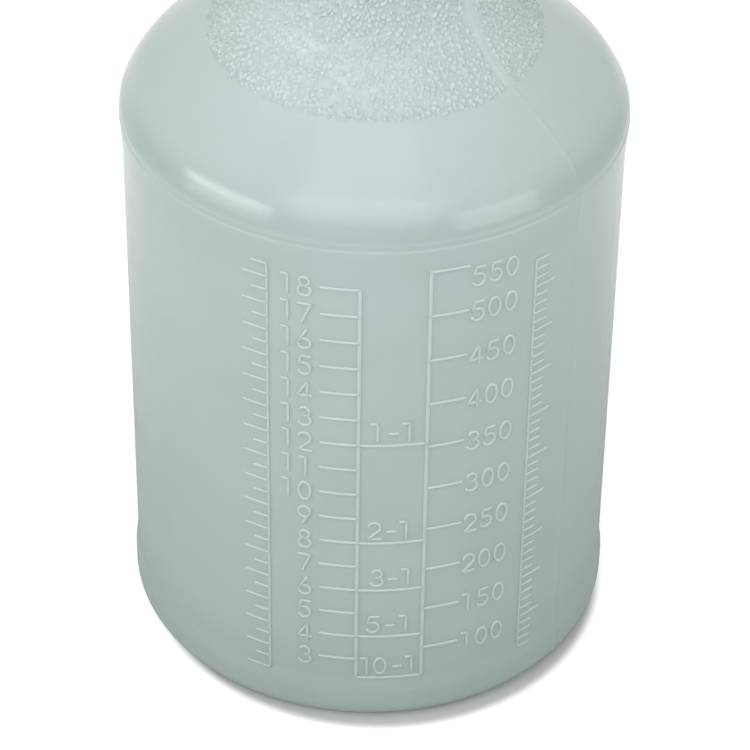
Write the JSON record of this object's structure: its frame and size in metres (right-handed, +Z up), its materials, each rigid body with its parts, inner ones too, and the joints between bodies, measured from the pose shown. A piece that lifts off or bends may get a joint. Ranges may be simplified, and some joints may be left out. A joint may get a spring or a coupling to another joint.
{
  "type": "graduated plastic bottle",
  "caption": "Round blow-moulded translucent bottle with raised ounce and millilitre scales, domed shoulder, waisted grip and an open screw neck.",
  "frame": {"origin": "centre of the standing ring, on the bottle's axis, at the surface it stands on", "axes": "+Z up along the bottle's axis; the scales face -Y"},
  "size_m": [0.0864, 0.0864, 0.225],
  "materials": {
    "natural_plastic": "satin, milky and translucent, pale grey-green"
  },
  "bodies": {
    "root": {"bottle": "natural_plastic"}
  },
  "joints": []
}
